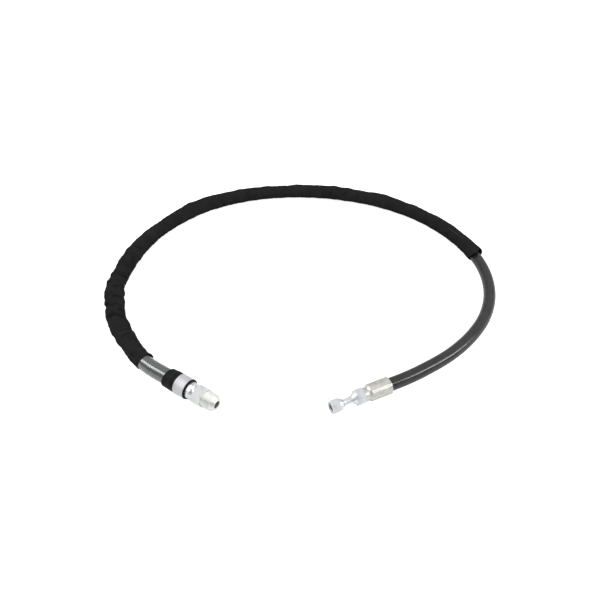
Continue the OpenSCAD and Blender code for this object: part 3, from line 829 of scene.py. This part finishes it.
ring_metal = plated_steel("ring_metal", (0.72, 0.71, 0.725), roughness=0.66, turning=4000)
ring_outer, ring_inner, rim_height = 11.85, 11.1, 0.18
band_radius = ring_outer - rim_height
ring_profile = (
    [(ring_rear, ring_inner)]
    + eased((ring_rear, ring_outer), (ring_rear, ring_inner), (ring_rear + 1.2, ring_outer), 0.3)
    + [(ring_rear + 0.9, ring_outer), (ring_rear + 1.3, band_radius)]
    + [(ring_front - 1.3, band_radius), (ring_front - 0.9, ring_outer)]
    + eased((ring_front, ring_outer), (ring_front - 1.2, ring_outer), (ring_front, ring_inner), 0.3)
    + [(ring_front, ring_inner)]
)
ring_piece = turned("clamp_ring_band", male_axis, ring_profile, ring_metal)
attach(ring_piece, "hose")
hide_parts("clamp_ring")

# ---------------------------------------------------------------- swivel end
# Swivel stem, turned from hexagon steel bar: barbed tail, hexagon, flared cone, thin
# neck and a sealing head that sits in the nut. Zinc plated, cool and bright.
bright_zinc = plated_steel("bright_zinc", (0.86, 0.88, 0.90), roughness=0.34, turning=9000)
# Painted shade: dark grey steel for the bores, the seat and the inside of the nut, where shade falls
bore_painted_shade = plated_steel("bore_painted_shade", (0.24, 0.24, 0.235), roughness=0.45, turning=6000)
stem_hex_af, stem_hex_front, stem_hex_core = 17.0, 15.4, 7.2
stem_hex_face, stem_hex_bevel, flare_radius = 8.3, 0.79, 7.14
neck_radius, neck_start, head_rear, head_face = 3.6, 21.0, 35.0, 38.0
seat_radius, seat_depth, head_radius, head_slope = 4.25, 2.85, 4.75, 1.15


def stem_shape(x, r, a):
    """The hexagon's flats."""
    return with_flats(x, r, a, stem_hex_af, hex_rear, stem_hex_front, stem_hex_core)


flare = [(stem_hex_front, flare_radius), (stem_hex_front + 0.56, flare_radius), (16.6, 6.6), (17.4, 5.9),
         (18.3, 5.2), (19.3, 4.6), (20.3, 4.2), (neck_start + 0.4, 3.95), (neck_start + 2, 3.75),
         (neck_start + 4, neck_radius)]
stem_outer = (
    tail_profile()
    + hexagon_outline(hex_rear, stem_hex_front, stem_hex_af, stem_hex_face, stem_hex_bevel)
    + flare
    + [(head_rear - head_slope, neck_radius), (head_rear, head_radius), (head_face, head_radius),
       (head_face, seat_radius)]
)
stem_inner = [(head_face - seat_depth, oil_radius), (tail_end, oil_radius)]
stem_piece = turned("swivel_stem_body", swivel_axis, stem_outer + stem_inner, bright_zinc,
                    sides=120, shape=stem_shape)


def stem_painted_shade(along, out):
    """Shade painted dark grey into the bore and the seat."""
    in_seat = out < seat_radius + 0.1 and along > head_face - seat_depth - 0.05
    return 1 if in_seat or out < oil_radius + 0.1 else 0


plate_and_shade_faces(stem_piece, swivel_axis, [bore_painted_shade], stem_painted_shade)
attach(stem_piece, "hose")
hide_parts("swivel_stem")

# ---------------------------------------------------------------- swivel nut
# Hexagon nut, 7/16-20, that turns freely on the stem. Its rear collar is swaged
# in behind the stem's sealing head, so it can't come off. Zinc plated.
nut_af, nut_rear, nut_hex_rear, nut_face = 14.3, 30.5, 35.3, 45.2
nut_hex_core, nut_hex_face, nut_hex_bevel = 6.4, 7.0, 0.67
nut_thread_radius, nut_thread_depth, nut_pitch, nut_thread_rear = 4.95, 0.6, 1.27, 38.2
nut_run_out = 0.6
nut_mouth_radius, chamber_radius, chamber_rear = 5.55, 5.3, 34.8
rear_bore, rear_bore_front = 3.65, 33.1


def nut_shape(x, r, a):
    """The hexagon's flats, and the inner thread's helix, which runs out at both ends."""
    flats = with_flats(x, r, a, nut_af, nut_hex_rear, nut_face, nut_hex_core)
    cut = 1 - tooth(x / nut_pitch - a / (2 * np.pi))
    run = np.clip(np.minimum(x - nut_thread_rear - 0.2, nut_face - 0.5 - x) / nut_run_out, 0, 1)
    threaded = (x > nut_thread_rear) & (x < nut_face - 0.3) & (r < nut_mouth_radius + 0.05)
    return np.where(threaded, flats + nut_thread_depth * cut * run, flats)


# Outline of the swaged collar: (distance in front of the nut's rear face, radius)
swaged = [(0, rear_bore + 0.2), (0, 4.3), (0.25, 4.75), (0.8, 5.25), (1.6, 5.8), (2.6, 6.3), (3.7, 6.65)]
nut_outer = (
    [(nut_rear + ahead, radius) for ahead, radius in swaged] + [(nut_hex_rear - 0.05, 6.85)]
    + hexagon_outline(nut_hex_rear, nut_face, nut_af, nut_hex_face, nut_hex_bevel)
    + [(nut_face, nut_mouth_radius + 0.1)]
    + fine([(nut_face, nut_mouth_radius), (nut_face - 0.6, nut_thread_radius)], 0.2)
)
nut_inner = (
    fine([(nut_face - 0.7, nut_thread_radius), (nut_thread_rear + 0.1, nut_thread_radius)], nut_pitch / 8)
    + [(nut_thread_rear, chamber_radius), (chamber_rear, chamber_radius),
       (rear_bore_front, rear_bore), (nut_rear + 0.2, rear_bore)]
)
nut_piece = turned("swivel_nut_body", swivel_axis, nut_outer + nut_inner, bright_zinc,
                   sides=120, shape=nut_shape)


def nut_painted_shade(along, out):
    """Shade painted dark grey inside the nut, behind its mouth."""
    return 1 if out < chamber_radius + 0.1 and along < nut_face - 1.2 else 0


plate_and_shade_faces(nut_piece, swivel_axis, [bore_painted_shade], nut_painted_shade)
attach(nut_piece, "nut")
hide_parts("swivel_nut")

# ---------------------------------------------------------------- floor and light
# White studio floor in a white room, with a long softbox on either side of the ring.
# Light comes from all round, and the room is darker low down on the camera's side,
# where the stand and the lens are.
floor_mesh = bpy.data.meshes.new("studio_floor")
reach = 6
floor_mesh.from_pydata([(-reach, -reach, 0), (reach, -reach, 0), (reach, reach, 0), (-reach, reach, 0)], [],
                       [(0, 1, 2, 3)])
studio_floor = bpy.data.objects.new("studio_floor", floor_mesh)
bpy.context.scene.collection.objects.link(studio_floor)

# The floor glows, so that it is white where it is seen, and only faintly in reflections
seen_glow, mirrored_glow = 0.8, 0.12
floor_paint, tree, shader = new_material("floor_paint")
set_inputs(tree, shader, Base_Color=(0.8, 0.8, 0.8, 1), Roughness=0.9, Specular_IOR_Level=0.0)
rays = node(tree, "ShaderNodeLightPath").outputs
mirrored = maths(tree, "ADD", rays["Is Glossy Ray"], rays["Is Transmission Ray"], clamp=True)
mirrored = maths(tree, "MULTIPLY", mirrored, mirrored_glow)
lit = maths(tree, "MULTIPLY_ADD", rays["Is Camera Ray"], seen_glow, mirrored)
glow = node(tree, "ShaderNodeEmission", Color=(1, 1, 1, 1), Strength=lit)
both = node(tree, "ShaderNodeAddShader", i0=shader.outputs[0], i1=glow.outputs[0])
set_inputs(tree, tree.nodes["Material Output"], Surface=both.outputs[0])
floor_mesh.materials.append(floor_paint)

# Brightness of the room's walls, from the floor (0) to straight overhead (1)
far_wall = [(0.0, 0.95), (0.08, 0.85), (0.2, 0.48), (0.4, 0.5), (0.62, 0.8), (1.0, 0.76)]
near_wall = [(0.0, 1.0), (0.08, 0.9), (0.18, 0.3), (0.45, 0.32), (0.64, 0.78), (1.0, 0.76)]
stand_direction = Vector((0.145, -0.98, 0.13)).normalized()
stand_brightness = 0.08


def eased_range(tree, value, start, end, before, after):
    """Goes smoothly from before to after while a value goes from start to end."""
    return node(tree, "ShaderNodeMapRange", {"interpolation_type": "SMOOTHSTEP"},
                i0=value, i1=start, i2=end, i3=before, i4=after).outputs[0]


world = bpy.data.worlds.new("studio_room")
bpy.context.scene.world = world
world.use_nodes = True
air = world.node_tree
direction = node(air, "ShaderNodeTexCoord").outputs["Generated"]
toward = node(air, "ShaderNodeSeparateXYZ", Vector=direction).outputs
camera_side = eased_range(air, toward["Y"], -0.35, 0.1, 1.0, 0.0)
room = blend(air, camera_side, ramp(air, toward["Z"], far_wall), ramp(air, toward["Z"], near_wall))
towards_stand = node(air, "ShaderNodeVectorMath", {"operation": "DOT_PRODUCT"},
                     i0=direction, i1=stand_direction).outputs["Value"]
stand = eased_range(air, towards_stand, 0.945, 0.975, 1.0, stand_brightness)
room = blend(air, 1.0, room, stand, "MULTIPLY")
rays = node(air, "ShaderNodeLightPath").outputs
seen = maths(air, "ADD", rays["Is Camera Ray"], rays["Is Transmission Ray"], clamp=True)
room = blend(air, seen, room, (1, 1, 1, 1))
set_inputs(air, air.nodes["Background"], Color=room)


def softbox(name, place, target, along, size, brightness):
    """A soft rectangular lamp that points at a target, with its long side along a direction."""
    data = bpy.data.lights.new(name, "AREA")
    data.shape = "RECTANGLE"
    data.size, data.size_y = size
    data.energy = brightness * math.pi * size[0] * size[1]
    back = (Vector(place) - Vector(target)).normalized()
    long_side = Vector(along).cross(back).cross(back).normalized()
    lamp = bpy.data.objects.new(name, data)
    lamp.location = place
    lamp.rotation_euler = Matrix((long_side.cross(back), long_side, back)).transposed().to_euler()
    bpy.context.scene.collection.objects.link(lamp)


softbox("left_strip", place=(-1.03, -0.01, 0.98), target=(-0.16, -0.17, 0), along=(-0.47, 0.69, -0.53),
        size=(0.52, 1.1), brightness=4.1)
softbox("right_strip", place=(1.38, -0.41, 0.9), target=(0.15, -0.17, 0), along=(0.547, 0.629, -0.551),
        size=(0.24, 0.95), brightness=15.0)

bpy.context.scene.view_settings.view_transform = "Standard"
